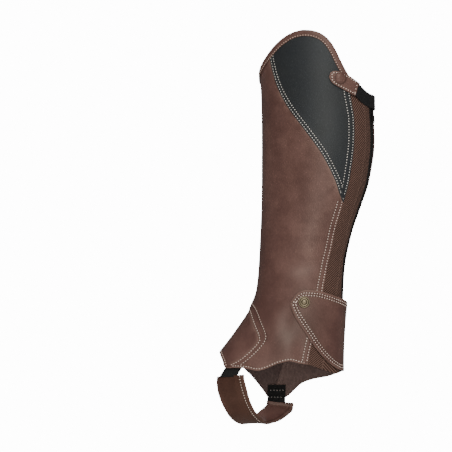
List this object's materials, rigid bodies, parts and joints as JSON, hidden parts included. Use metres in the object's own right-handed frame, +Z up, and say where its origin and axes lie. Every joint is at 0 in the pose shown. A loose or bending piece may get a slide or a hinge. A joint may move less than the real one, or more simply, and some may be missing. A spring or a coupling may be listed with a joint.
{
  "type": "half chap",
  "caption": "Leather half chap for a left leg, closed and filled out as worn: wrap flap with snap, back zip, stretch panel, contrast insert and foot strap.",
  "frame": {"origin": "on the leg's axis at the fullest section of the calf, where the wearer's leg holds the chap", "axes": "+Z up the leg, -X towards the shin and toes, -Y towards the outer side of a left leg"},
  "size_m": [0.1993, 0.1143, 0.4907],
  "materials": {
    "brown_leather": "smooth oiled leather, satin",
    "black_leather": "smooth black leather, satin",
    "brown_elastic": "herringbone woven elastic, matte",
    "black_elastic": "ribbed webbing elastic, matte",
    "zip_tape": "woven zip tape, matte",
    "zip_chain": "moulded zip teeth, satin",
    "dark_metal": "darkened metal",
    "aged_brass": "antique brass, worn"
  },
  "bodies": {
    "root": {"front_panel": "brown_leather", "vamp": "brown_leather", "insert": "black_leather", "elastic_panel": "brown_elastic", "zip_tape_side": "zip_tape", "zip_tape_back": "zip_tape", "zip_chain": "zip_chain", "zip_slider": "dark_metal", "back_panel": "brown_leather", "flap": "brown_leather", "snap_cap": "aged_brass", "top_tab": "brown_leather", "top_band": "black_elastic", "top_binding": "brown_leather", "foot_strap": "brown_leather", "strap_elastic_side": "black_elastic", "strap_elastic_inner": "black_elastic"}
  },
  "joints": []
}
